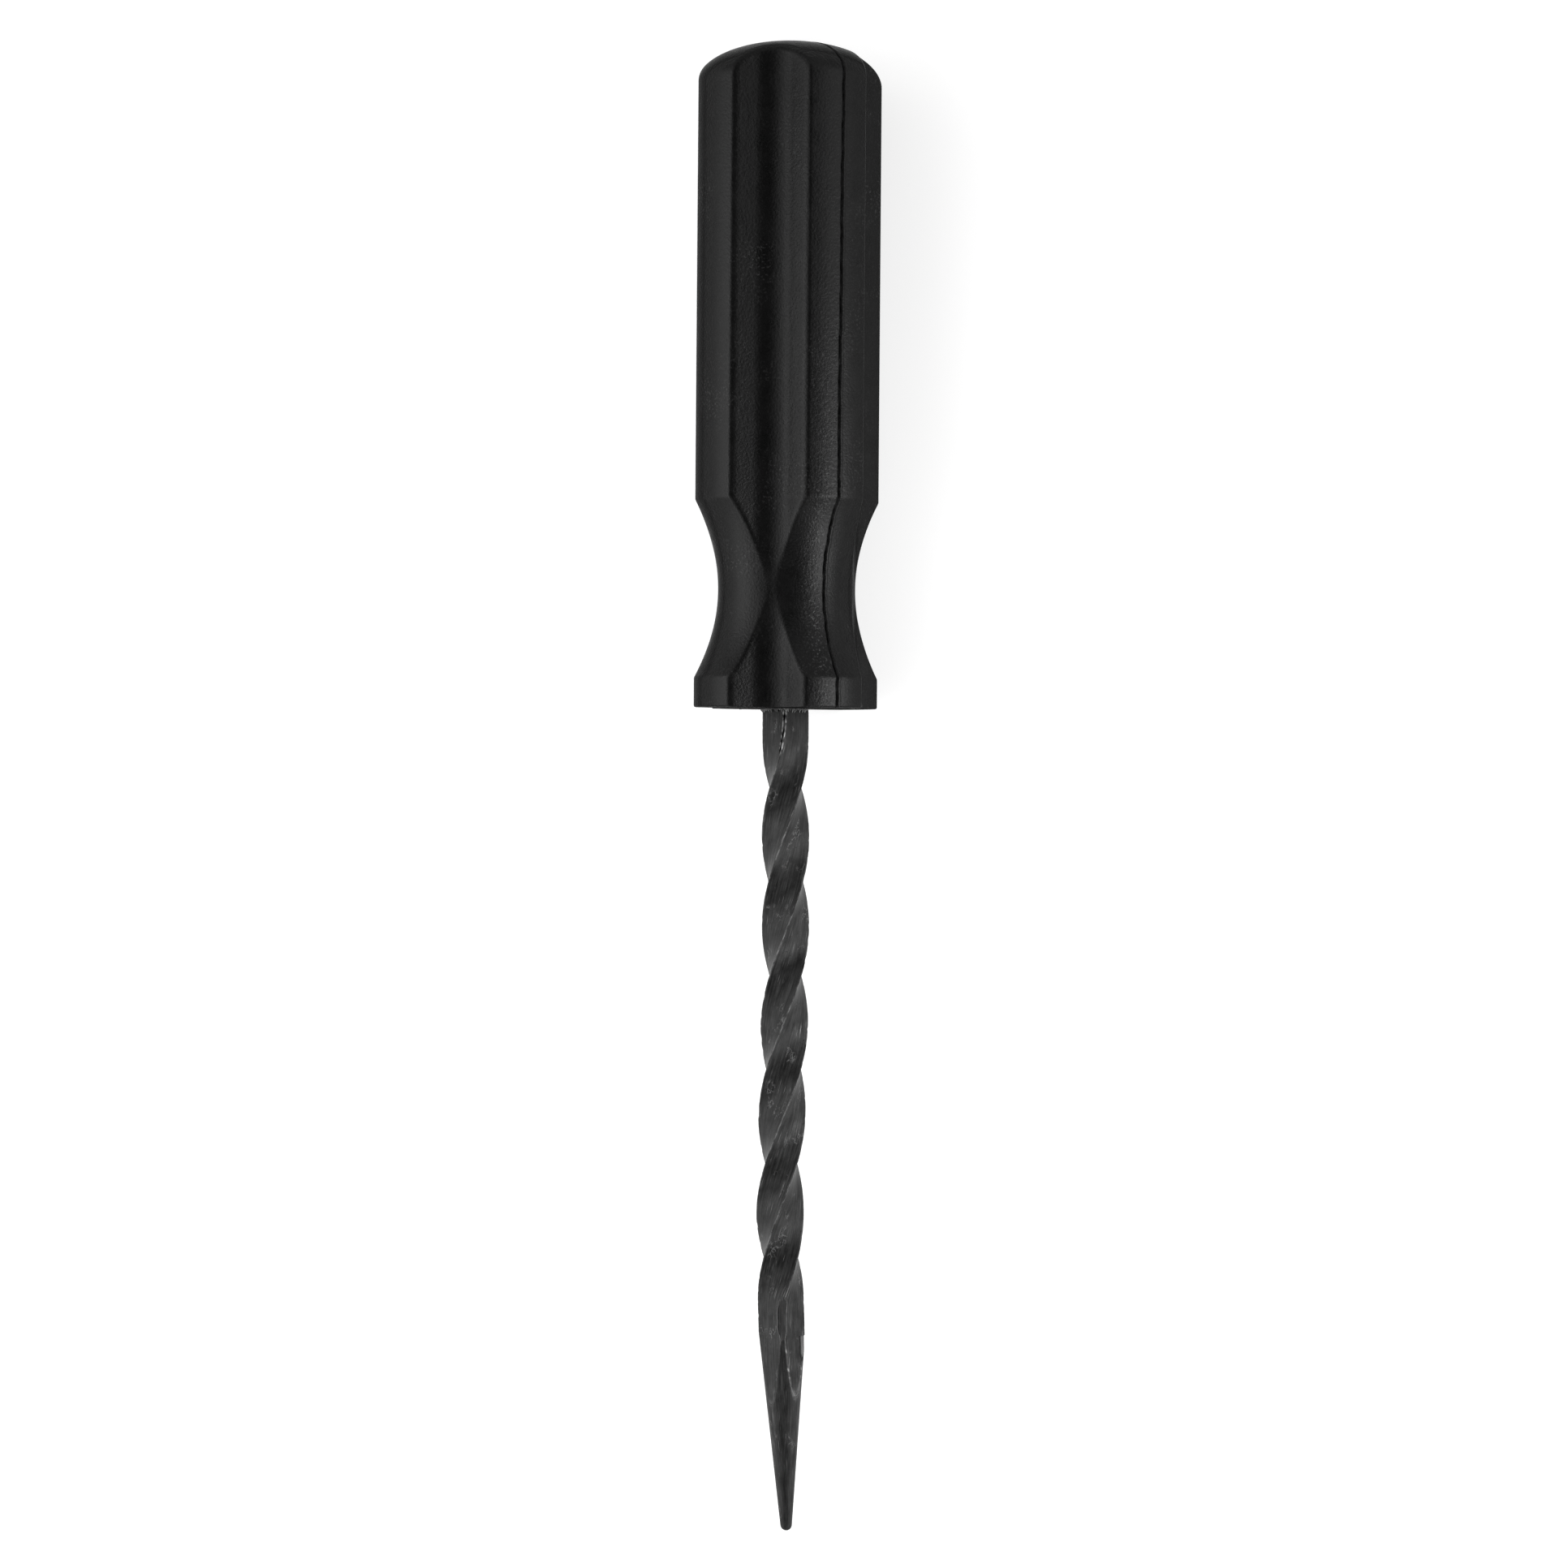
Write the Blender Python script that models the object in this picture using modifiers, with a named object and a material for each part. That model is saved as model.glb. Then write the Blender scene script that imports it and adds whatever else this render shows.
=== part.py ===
"""Tire repair reamer: a twisted square steel shank with a ground point, moulded into a fluted plastic handle.

The tool lies as it rests on a bench, on the two lands beside its lowest flute. Its axis runs along Y,
with the handle toward +Y and the point toward -Y, and the origin is under the middle of its length.
"""

import math

import bmesh
import bpy
from mathutils import Matrix, Vector

MM = 0.001

# Handle, measured back from the flat front face that the shank leaves
HANDLE_LENGTH = 80.5 * MM
GRIP_RADIUS = 11.5 * MM
DOME_HEIGHT = 5.0 * MM
COLLAR_LENGTH = 3.6 * MM
WAIST_RADIUS = 8.3 * MM
NECK_ARC_RADIUS = 19.5 * MM
FRONT_EDGE_BREAK = 0.25 * MM

# Flutes: a wide V with a rounded floor, fading out where the neck is as thin as the floor
FLUTES = 4
FLUTE_FLOOR_RADIUS = WAIST_RADIUS
FLUTE_FLOOR_ARC = 4.0 * MM
FLUTE_WALL_SLOPE = math.radians(29.0)
LAND_EDGE_BLEND = 0.55 * MM
DOME_EDGE_BLEND = 1.3 * MM

# Shank, measured forward from the front face
REACH = 99.5 * MM
BAR_WIDTH = 4.14 * MM
BAR_THICKNESS = 3.82 * MM
BAR_TURN = math.radians(11.4)
STRAIGHT_NECK = 3.7 * MM
TWIST_LENGTH = 67.6 * MM
TWIST_TURNS = 1.496

# Point: a cone ground on the straight end, which leans a little off the bar's axis
POINT_HALF_ANGLE = math.radians(5.2)
NOSE_RADIUS = 0.71 * MM
POINT_RUNOUT = 0.82 * MM

# Tang, measured back from the front face, with wings pressed out of the bar to hold it in the moulding
TANG_DEPTH = 46.0 * MM
WING_START = 24.0 * MM
WING_LENGTH = 8.0 * MM
WING_RAMP = 2.0 * MM
WING_SPAN = 6.0 * MM
WING_THICKNESS = 2.7 * MM
TANG_CLEARANCE = 0.3 * MM

# Facets
NECK_RINGS = 20
GRIP_RINGS = 6
DOME_DEGREES = (10, 19, 27, 33, 38, 42, 46, 51, 58, 67, 77, 86)
FLUTE_STEPS = (-0.96, -0.92, -0.85, -0.7, -0.48, -0.24, 0.0, 0.24, 0.48, 0.7, 0.85, 0.92, 0.96)
LAND_STEPS = (0.0, 0.04, 0.09, 0.16, 0.3, 0.5, 0.7, 0.84, 0.91, 0.96, 1.0)
NARROWEST_FLUTE = math.radians(5.0)
TWIST_RINGS = 72
BAR_FACE_STEPS = 3
POINT_SIDES = 56
NOSE_STEPS = 5

FRONT_Y = (REACH - HANDLE_LENGTH) / 2
FLUTE_APEX = FLUTE_FLOOR_RADIUS - FLUTE_FLOOR_ARC * (1 / math.cos(FLUTE_WALL_SLOPE) - 1)


def collection(name, hidden):
    made = bpy.data.collections.new(name)
    made.hide_render = hidden
    bpy.context.scene.collection.children.link(made)
    return made


def material(name, colour, roughness, metallic):
    made = bpy.data.materials.new(name)
    made.use_nodes = True
    shader = made.node_tree.nodes["Principled BSDF"]
    shader.inputs["Base Color"].default_value = (*colour, 1.0)
    shader.inputs["Roughness"].default_value = roughness
    shader.inputs["Metallic"].default_value = metallic
    return made


def add(name, mesh, where):
    made = bpy.data.objects.new(name, mesh)
    where.objects.link(made)
    return made


def cutter(made):
    made.hide_render = True
    made.display_type = "WIRE"
    return made


def boolean(made, operation, other):
    step = made.modifiers.new(operation.title(), "BOOLEAN")
    step.operation = operation
    step.solver = "EXACT"
    step.object = other


def loft(name, rings, where):
    """A closed solid through rings that all have as many points."""
    shape = bmesh.new()
    rows = [[shape.verts.new(point) for point in ring] for ring in rings]
    for row, following in zip(rows, rows[1:]):
        for i in range(len(row)):
            shape.faces.new((row[i - 1], row[i], following[i], following[i - 1]))
    shape.faces.new(rows[0])
    shape.faces.new(rows[-1])
    bmesh.ops.recalc_face_normals(shape, faces=shape.faces)
    mesh = bpy.data.meshes.new(name)
    shape.to_mesh(mesh)
    shape.free()
    mesh.shade_smooth()
    mesh.set_sharp_from_angle(angle=math.radians(24))
    return add(name, mesh, where)


def handle_profile():
    """Stations along the handle: distance from the front face, radius of the lands, blend at their edges."""
    depth = GRIP_RADIUS - WAIST_RADIUS
    half_neck = math.sqrt(2 * NECK_ARC_RADIUS * depth - depth * depth)
    waist = COLLAR_LENGTH + half_neck
    stations = [(0.0, GRIP_RADIUS - FRONT_EDGE_BREAK), (FRONT_EDGE_BREAK, GRIP_RADIUS)]
    for i in range(NECK_RINGS + 1):
        along = half_neck * (2 * i / NECK_RINGS - 1)
        rise = NECK_ARC_RADIUS - math.sqrt(NECK_ARC_RADIUS**2 - along**2)
        stations.append((waist + along, WAIST_RADIUS + rise))
    shoulder = waist + half_neck
    dome_base = HANDLE_LENGTH - DOME_HEIGHT
    for i in range(1, GRIP_RINGS + 1):
        stations.append((shoulder + (dome_base - shoulder) * i / GRIP_RINGS, GRIP_RADIUS))
    profile = [(along, radius, LAND_EDGE_BLEND) for along, radius in stations]
    for degrees in DOME_DEGREES:
        turn = math.radians(degrees)
        slope = GRIP_RADIUS / DOME_HEIGHT * math.tan(turn)
        blend = min(DOME_EDGE_BLEND, LAND_EDGE_BLEND * math.hypot(1, slope))
        along = dome_base + DOME_HEIGHT * math.sin(turn)
        profile.append((along, GRIP_RADIUS * math.cos(turn), blend))
    return profile


def flute_radius(angle):
    """Distance from the handle's axis to a flute's wall or floor, at an angle from the flute's middle."""
    angle = abs(angle)
    arc_centre = FLUTE_FLOOR_RADIUS + FLUTE_FLOOR_ARC
    tangent = math.atan2(
        FLUTE_FLOOR_ARC * math.sin(FLUTE_WALL_SLOPE),
        arc_centre - FLUTE_FLOOR_ARC * math.cos(FLUTE_WALL_SLOPE),
    )
    if angle < tangent:
        across = arc_centre * math.sin(angle)
        return arc_centre * math.cos(angle) - math.sqrt(FLUTE_FLOOR_ARC**2 - across**2)
    return FLUTE_APEX * math.cos(FLUTE_WALL_SLOPE) / math.cos(angle + FLUTE_WALL_SLOPE)


def flute_half_width(land_radius):
    """The angle from a flute's middle to the edge where its wall meets a land of this radius."""
    reach = min(1.0, FLUTE_APEX * math.cos(FLUTE_WALL_SLOPE) / land_radius)
    return max(NARROWEST_FLUTE, math.acos(reach) - FLUTE_WALL_SLOPE)


def handle_ring(along, land_radius, blend):
    """The handle's outline at one station, with the lands run into the flutes over a soft edge."""
    edge = flute_half_width(land_radius)
    pitch = 2 * math.pi / FLUTES
    angles = [edge * step for step in FLUTE_STEPS]
    angles += [edge + (pitch - 2 * edge) * step for step in LAND_STEPS]
    ring = []
    for flute in range(FLUTES):
        for angle in angles:
            from_middle = angle if angle < pitch / 2 else angle - pitch
            wall = flute_radius(from_middle)
            nearness = max(0.0, 1 - abs(land_radius - wall) / blend)
            radius = min(land_radius, wall) - blend * nearness**2 / 4
            turn = flute * pitch + angle
            ring.append(Vector((radius * math.sin(turn), along, radius * math.cos(turn))))
    return ring


def bar_ring(along, span, thickness):
    """The bar's outline at one station, near enough on its corner as it lies in the handle."""
    corners = [(1, 1), (1, -1), (-1, -1), (-1, 1)]
    turn = Matrix.Rotation(BAR_TURN - math.pi / 4, 3, "Y")
    ring = []
    for here, there in zip(corners, corners[1:] + corners[:1]):
        for i in range(BAR_FACE_STEPS):
            part = i / BAR_FACE_STEPS
            x = (here[0] + (there[0] - here[0]) * part) * span / 2
            z = (here[1] + (there[1] - here[1]) * part) * thickness / 2
            ring.append(turn @ Vector((x, along, z)))
    return ring


def tang_rings(grown):
    """The tang from its inner end to the wings' front, larger all round by the amount given."""
    stations = [
        (TANG_DEPTH + grown, BAR_WIDTH, BAR_THICKNESS),
        (WING_START + WING_LENGTH + WING_RAMP, BAR_WIDTH, BAR_THICKNESS),
        (WING_START + WING_LENGTH, WING_SPAN, WING_THICKNESS),
        (WING_START, WING_SPAN, WING_THICKNESS),
        (WING_START - WING_RAMP, BAR_WIDTH, BAR_THICKNESS),
    ]
    return [bar_ring(along, span + 2 * grown, thick + 2 * grown) for along, span, thick in stations]


def leaning_end(past, tip):
    """The bar's last outline, off its axis so that the end leans to +X once the twist has turned it."""
    lean = POINT_RUNOUT * (past - TWIST_LENGTH) / (tip - TWIST_LENGTH)
    way = Matrix.Rotation(2 * math.pi * TWIST_TURNS, 3, "Y") @ Vector((lean, 0, 0))
    return [point + way for point in bar_ring(-past, BAR_WIDTH, BAR_THICKNESS)]


def shift(rings, along):
    return [[point + Vector((0, along, 0)) for point in ring] for ring in rings]


def build_handle(where, tools):
    rings = [handle_ring(*station) for station in handle_profile()]
    handle = loft("handle", rings, where)
    lowest = min(point.z for ring in rings for point in ring)
    handle.location = (0, FRONT_Y, -lowest)
    loose = 2 * TANG_CLEARANCE
    mouth = bar_ring(-BAR_WIDTH, BAR_WIDTH + loose, BAR_THICKNESS + loose)
    socket = cutter(loft("socket", tang_rings(TANG_CLEARANCE) + [mouth], tools))
    socket.location = handle.location
    boolean(handle, "DIFFERENCE", socket)
    return handle


def build_shank(where, tools, axis_height):
    tip = REACH - STRAIGHT_NECK
    rings = shift(tang_rings(0), STRAIGHT_NECK)
    for i in range(TWIST_RINGS + 1):
        rings.append(bar_ring(-TWIST_LENGTH * i / TWIST_RINGS, BAR_WIDTH, BAR_THICKNESS))
    rings.append(leaning_end(tip + BAR_WIDTH, tip))
    shank = loft("shank", rings, where)
    shank.location = (0, FRONT_Y - STRAIGHT_NECK, axis_height)

    twist = shank.modifiers.new("Twist", "SIMPLE_DEFORM")
    twist.deform_method = "TWIST"
    twist.deform_axis = "Y"
    twist.angle = 2 * math.pi * TWIST_TURNS
    end, start = rings[-1][0].y, rings[0][0].y
    twist.limits = ((-TWIST_LENGTH - end) / (start - end), -end / (start - end))

    boolean(shank, "INTERSECT", build_grinding(tools, shank.location, tip))
    return shank


def build_grinding(tools, twist_start, tip):
    """The turned space that grinding leaves: a cone with a round nose, leaning as the bar's end does."""
    run = tip - TWIST_LENGTH
    widest = WING_SPAN
    cone_foot = NOSE_RADIUS * math.cos(POINT_HALF_ANGLE)
    cone_start = run - NOSE_RADIUS * (1 - math.sin(POINT_HALF_ANGLE))
    cone_end = cone_start - (widest - cone_foot) / math.tan(POINT_HALF_ANGLE)
    back = -TWIST_LENGTH - STRAIGHT_NECK - TANG_DEPTH - BAR_WIDTH
    profile = [(0.0, -back), (widest, -back), (widest, -cone_end), (cone_foot, -cone_start)]
    for i in range(1, NOSE_STEPS + 1):
        turn = POINT_HALF_ANGLE + (math.pi / 2 - POINT_HALF_ANGLE) * i / NOSE_STEPS
        nose = run - NOSE_RADIUS * (1 - math.sin(turn))
        profile.append((NOSE_RADIUS * math.cos(turn), -nose))
    profile[-1] = (0.0, -run)

    shape = bmesh.new()
    points = [shape.verts.new((radius, 0, height)) for radius, height in profile]
    for here, there in zip(points, points[1:]):
        shape.edges.new((here, there))
    mesh = bpy.data.meshes.new("grinding")
    shape.to_mesh(mesh)
    shape.free()
    grinding = cutter(add("grinding", mesh, tools))
    turned = grinding.modifiers.new("Turn", "SCREW")
    turned.steps = POINT_SIDES
    turned.render_steps = POINT_SIDES
    turned.use_merge_vertices = True
    turned.merge_threshold = 1e-6
    lean = Matrix.Rotation(math.asin(POINT_RUNOUT / run), 4, "Z")
    along_y = Matrix.Rotation(-math.pi / 2, 4, "X")
    off_corners = Matrix.Rotation(math.pi / POINT_SIDES, 4, "Z")
    pivot = Matrix.Translation(twist_start - Vector((0, TWIST_LENGTH, 0)))
    grinding.matrix_world = pivot @ lean @ along_y @ off_corners
    return grinding


def main():
    for old in list(bpy.data.objects):
        bpy.data.objects.remove(old)
    parts = collection("tire_repair_reamer", False)
    tools = collection("cutters", True)
    handle = build_handle(parts, tools)
    shank = build_shank(parts, tools, handle.location.z)
    handle.data.materials.append(material("black moulded plastic", (0.016, 0.016, 0.017), 0.45, 0.0))
    shank.data.materials.append(material("black oxide steel", (0.11, 0.11, 0.115), 0.42, 1.0))


main()
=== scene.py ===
"""The looks of the tire repair reamer: fine meshes of its handle and shank, finishes and studio."""

import math
from collections import namedtuple

import bpy
import numpy as np
from mathutils import Matrix, Vector, noise


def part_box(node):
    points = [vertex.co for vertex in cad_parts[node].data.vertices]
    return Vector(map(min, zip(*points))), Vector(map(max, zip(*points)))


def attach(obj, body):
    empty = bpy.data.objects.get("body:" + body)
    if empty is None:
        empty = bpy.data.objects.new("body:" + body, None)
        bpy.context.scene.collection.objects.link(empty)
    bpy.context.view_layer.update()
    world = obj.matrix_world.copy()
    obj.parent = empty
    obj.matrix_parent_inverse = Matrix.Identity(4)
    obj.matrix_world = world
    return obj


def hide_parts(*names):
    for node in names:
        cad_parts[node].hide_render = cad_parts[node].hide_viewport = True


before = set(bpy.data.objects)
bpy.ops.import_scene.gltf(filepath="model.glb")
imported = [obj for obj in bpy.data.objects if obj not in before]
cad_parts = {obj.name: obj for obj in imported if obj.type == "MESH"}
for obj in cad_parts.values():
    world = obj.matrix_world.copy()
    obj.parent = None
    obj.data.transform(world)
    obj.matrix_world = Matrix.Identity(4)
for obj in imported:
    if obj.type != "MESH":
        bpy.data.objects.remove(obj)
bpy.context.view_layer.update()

MM = 0.001
TINY = 1e-9

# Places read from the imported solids
HANDLE_LOW, HANDLE_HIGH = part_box("handle")
SHANK_LOW, SHANK_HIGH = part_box("shank")
AXIS_HEIGHT = (HANDLE_LOW.z + HANDLE_HIGH.z) / 2
FRONT_Y = HANDLE_LOW.y
HANDLE_LENGTH = HANDLE_HIGH.y - HANDLE_LOW.y
REACH = FRONT_Y - SHANK_LOW.y
TANG_DEPTH = SHANK_HIGH.y - FRONT_Y

# Handle, measured back from its front face
GRIP_RADIUS = 11.38 * MM
DOME_HEIGHT = 5.0 * MM
COLLAR_LENGTH = 3.6 * MM
WAIST_RADIUS = 8.3 * MM
NECK_ARC_RADIUS = 20.15 * MM
NECK_ARC_REACH = NECK_ARC_RADIUS * 0.9
FRONT_EDGE_BREAK = 0.25 * MM
SHOULDER_BLEND = 0.04 * MM
FLUTES = 4
FLUTE_FLOOR_RADIUS = 8.38 * MM
FLUTE_FLOOR_ARC = 4.4 * MM
FLUTE_WALL_SLOPE = math.radians(31.5)
LAND_EDGE_BLEND = 0.65 * MM
DOME_EDGE_BLEND = 1.3 * MM
WAIST_EDGE_SHARE = 0.14
FLUTE_APEX = FLUTE_FLOOR_RADIUS - FLUTE_FLOOR_ARC * (1 / math.cos(FLUTE_WALL_SLOPE) - 1)
FLUTE_PITCH = 2 * math.pi / FLUTES

# The flutes lie a little deeper at the waist, so that they meet there
WAIST_SINK = 0.1 * MM
WAIST_SINK_LENGTH = 6.0 * MM

# Mould line, in the plane through the axis and the middle of two opposite lands. Its waves are pairs
# of length in millimetres and phase
MOULD_LINE_TURN = math.radians(45.0)
MOULD_LINE_DEPTH = 0.24 * MM
MOULD_LINE_WIDTH = 0.11 * MM
MOULD_LIP_HEIGHT = 0.035 * MM
MOULD_LIP_PLACE = 0.34 * MM
MOULD_LIP_WIDTH = 0.14 * MM
MOULD_LINE_WANDER = 0.12 * MM
MOULD_LINE_WAVES = ((23.0, 0.4), (5.1, 2.0), (2.3, 4.1), (1.1, 1.3))
MOULD_DEPTH_SWING = 0.45
MOULD_DEPTH_WAVES = ((4.3, 1.0), (1.7, 3.0))
MOULD_LINE_SLANT = 0.006
MOULD_LINE_SLANT_START = 30.0 * MM

# Scuffed strip beside the mould line, over the front half of the handle
HANDLED_PLACE = 1.5 * MM
HANDLED_WIDTH = 1.1 * MM
HANDLED_END = 52.0 * MM
HANDLED_FADE = 26.0 * MM
HANDLED_LEAST = 0.1

# Moulding flash round the shank, at the front face: its height rises and falls round the mouth, and
# its section has a share of the width, of the height and of the torn finish at each step inward
FLASH_WIDTH = 0.45 * MM
FLASH_HEIGHT = 0.55 * MM
FLASH_RAGGED = 14.0
FLASH_MEAN = 0.45
FLASH_SWING = 1.3
FLASH_LEAST = 0.15
FLASH_SECTION = ((0.6, 0.35, 0.5), (0.3, 0.85, 1.0), (0.12, 1.0, 1.0), (0.0, 0.7, 0.5))
FACE_STEPS = (0.1, 0.25, 0.45, 0.65, 0.82, 0.94, 1.0)
MOUTH_GAP = 0.02 * MM
MOUTH_DEPTH = 0.4 * MM
MOUTH_END = 0.9 * MM

# Shank, measured forward from the front face
BAR_WIDTH = 4.14 * MM
BAR_THICKNESS = 3.82 * MM
BAR_CORNER = 0.035 * MM
BAR_HOLLOW = 0.05 * MM
BAR_TURN = math.radians(11.4)
STRAIGHT_NECK = 4.1 * MM
TWIST_LENGTH = 68.0 * MM
TWIST_TURNS = 1.496
TWIST_EASE_IN = 7.0 * MM
TWIST_EASE_OUT = 2.5 * MM
TWIST_END = STRAIGHT_NECK + TWIST_LENGTH
POINT_HALF_ANGLE = math.radians(5.2)
NOSE_RADIUS = 0.71 * MM
POINT_RUNOUT = 0.82 * MM
GRIND_OFFSET = 0.22 * MM

# The grinding reaches no further back than its start, so the radius there is wider than any bar
GRIND_START = TWIST_END - 5.0 * MM
UNCUT_RADIUS = 1.0

# Hand-made unevenness of the shank, measured the same way. Grains are repeats in a millimetre, across
# the bar and along it
SHANK_BOW = 0.2 * MM
SHANK_BOW_LENGTH = 74.0 * MM
SHANK_BOW_END = SHANK_BOW_LENGTH + 2.0 * MM
SHANK_BOW_FADE = 14.0 * MM
SHANK_BOW_SKEW = 1.5
ROUGH_FADE = 0.5 * MM
FACE_UNEVEN = 0.03 * MM
FACE_GRAIN = (0.7, 0.35)
RIPPLE_SHARE = 0.4
RIPPLE_GRAIN = (2.1, 0.5)
MOST_SWELL = 0.12 * MM
CORNER_SWELL = 0.07 * MM
CORNER_SWELL_REACH = 0.8 * MM
CORNER_SWELL_RAMP = 10.0 * MM
NICK_DEPTH = 0.07 * MM
NICK_REACH = 0.16 * MM
NICKS_PER_MM = 1.3
NICK_FROM = 0.18
NICK_RISE = 0.5
CORNER_SHIFT = 5.3
CHEWED_START = -0.3 * MM
CHEWED_RISE = MM / 3
CHEWED_LENGTH = 5.8 * MM
CHEWED_FADE = 1.0 * MM
CHEW_PLACE = 0.22 * MM
CHEW_DEPTH = 0.3 * MM
CHEW_REACH = 0.16 * MM
CHEW_GRAIN = (2.5, 1.6)
CHEW_CONTRAST = 2.2
CHEW_LEVEL = 0.35
BURR_PLACE = 0.24 * MM
BURR_WIDTH = 0.06 * MM
BURR_HEIGHT = 0.04 * MM
BURR_GRAIN = (1.2, 1.9)
BURR_CONTRAST = 3.0
BURR_LEVEL = 0.4
# Reach of the worn corners' lighter colour, which is partly a painted highlight
EDGE_WEAR_AND_HIGHLIGHT_REACH = 0.09 * MM

# Painted highlight on the rim of the ground and filed faces: dimmer to the left of the near corner,
# beaded to its right
RIM_HIGHLIGHT_REACH = 0.05 * MM
RIM_HIGHLIGHT_LEFT_SHARE = 0.35
BEADS_START = 76.8 * MM
BEADS_END = 81.6 * MM
BEADS_PER_MM = 2.2
BEAD_CONTRAST = 3.0

# Flats filed on two corners above the cone: where they start, are deepest, fade and end along the
# shank, their depth, and the way that they face and their corner points, round from +Z
Flat = namedtuple("Flat", "start full fade end depth turn corner_turn")
NEAR_FLAT = Flat(
    start=71.2 * MM, full=71.8 * MM, fade=75.2 * MM, end=77.0 * MM,
    depth=0.56 * MM, turn=math.radians(8), corner_turn=math.radians(15),
)
SIDE_FLAT = Flat(
    start=75.8 * MM, full=75.95 * MM, fade=78.0 * MM, end=79.6 * MM,
    depth=0.14 * MM, turn=math.radians(67), corner_turn=math.radians(101),
)
FLAT_EDGE = 0.02 * MM
# Lighter bare steel of the filed flats; the side flat's extra lightness is a painted highlight
NEAR_FLAT_BARE = 0.3
SIDE_FLAT_BARE_AND_HIGHLIGHT = 1.0

# The file's deeper cut in a flat's left margin, given painted shade: how deep the flat is there, the
# cut's reach and depth, and the turn that ends the left side. A painted highlight runs beside it
Undercut = namedtuple("Undercut", "place reach depth middle")
NEAR_UNDERCUT = Undercut(place=0.12 * MM, reach=0.045 * MM, depth=0.1 * MM, middle=NEAR_FLAT.turn)
SIDE_UNDERCUT = Undercut(place=0.0, reach=0.04 * MM, depth=0.18 * MM, middle=SIDE_FLAT.corner_turn)
UNDERCUT_HIGHLIGHT_REACH = 0.12 * MM
UNDERCUT_HIGHLIGHT = 0.7

# Tang, measured back from the front face
WING_START = 24.0 * MM
WING_LENGTH = 8.0 * MM
WING_RAMP = 2.0 * MM
WING_SPAN = 6.0 * MM
WING_THICKNESS = 2.7 * MM
TANG_CLEARANCE = 0.3 * MM

# Fineness of the meshes: degrees round the handle and beside the mould line, rows along the handle,
# shares of a face of the bar, and stretches of the shank with their spacing, in millimetres
TURN_STEP = 0.75
LINE_TURN_STEP = 0.2
LINE_TURN_REACH = 3.3
LINE_TURN_GAP = 0.003
CROWN_DEGREES = (88.5, 60.0)
CROWN_ROWS = 14
DOME_DEGREES = (58.0, 0.0)
DOME_ROWS = 44
GRIP_ROWS = 110
NECK_ROWS = 110
NECK_MARGIN = 1.5 * MM
EDGE_DEGREES = (30.0, 60.0, 90.0)
CORNER_SHARES = (0.0, 0.01, 0.02, 0.035, 0.05, 0.065, 0.08, 0.1, 0.12)
FACE_COLUMNS = 22
FACE_MARGIN = 0.15
CORNER_DEGREES = (18.0, 36.0, 54.0, 72.0)
FACE_RUN_GAP = 6.0 * MM
SHANK_STRETCHES = ((-1.0, 7.0, 0.12), (7.0, 70.0, 0.3), (70.0, 90.0, 0.16), (90.0, 98.6, 0.4))
NOSE_DEGREES = (5.0, 15.0, 25.0, 35.0, 45.0, 55.0, 65.0, 75.0, 84.0)
MAP_MARGIN = 0.02

# Plastic. A pattern's scale, or its stretch across, along and by layer, is in repeats in a
# millimetre, and a range is the part of it that counts
PLASTIC_TONE = 0.0032
PLASTIC_GLOSS = 0.13
PLASTIC_ROUGHNESS = 0.3
DULL_FROM = 0.15
DULL_TO = 0.58
DULL_SHARE = 0.06
GRAIN = dict(scale=3.2, detail=3.0, roughness=0.6)
GRAIN_HEIGHT = 0.06 * MM
MOTTLE = dict(scale=0.45, detail=4.0, roughness=0.55)
MOTTLE_RANGE = (0.3, 0.7)
MOTTLE_TONES = (PLASTIC_TONE * 0.75, PLASTIC_TONE * 1.3)
MOTTLE_POLISH_RANGE = (0.25, 0.75)
MOTTLE_POLISH = 0.05
MOTTLE_HEIGHT = 0.03 * MM
DUST = dict(scale=3.4, detail=2.0, roughness=0.6)
DUST_RANGE = (0.57, 0.7)
DUST_TONE = PLASTIC_TONE * 15
CLUSTER = dict(scale=0.12, detail=3.0, roughness=0.6)
CLUSTER_RANGE = (0.5, 0.7)
CLUSTER_SHARES = (0.06, 0.6)
SCUFF = dict(stretch=(1.0, 0.35, 1.0), scale=0.9, detail=5.0, roughness=0.7)
SCUFF_RANGE = (0.56, 0.7)
SCUFF_TONE = PLASTIC_TONE * 0.7
SCUFF_POLISH = 0.06
FLASH_TONE = PLASTIC_TONE * 40
MATT_ROUGHNESS = 0.4

# Steel, with painted shade over the first millimetres beside the handle. Its marks add shares of
# the worn tone
STEEL_TONE = 0.013
STEEL_GLOSS = 0.12
STEEL_WORN = 0.12
STEEL_METAL = 0.2
STEEL_ROUGHNESS = 0.46
STEEL_PAINTED_SHADE = 0.6
STEEL_PAINTED_SHADE_LENGTH = 9.0
# Rim and its beading are painted highlights; the edge and the side flat are partly painted highlights
STEEL_MARKS = {"edge": 1.0, "rim": 1.0, "scratch": 0.8, "tear": 0.6, "burr": 2.2, "filed": 0.45}
GROUND_LAYER = 4
DRAWN = dict(stretch=(5.0, 0.25, 1.0), detail=4.0, roughness=0.65)
DRAWN_RANGE = (0.32, 0.68)
DRAWN_SHARES = (0.35, 1.85)
DRAWN_HEIGHT = 0.018 * MM
CLOUD = dict(stretch=(0.55, 0.4, 1.0), detail=5.0, roughness=0.6)
CLOUD_RANGE = (0.3, 0.7)
CLOUD_TONES = (STEEL_TONE * 0.45, STEEL_TONE * 1.9)
CLOUD_POLISH = 0.06
CLOUD_HEIGHT = 0.03 * MM
SCRATCH = dict(stretch=(7.0, 0.32, 1.0))
SCRATCH_RANGE = (0.63, 0.71)
SCRATCHED = dict(stretch=(0.3, 0.16, 1.0))
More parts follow.
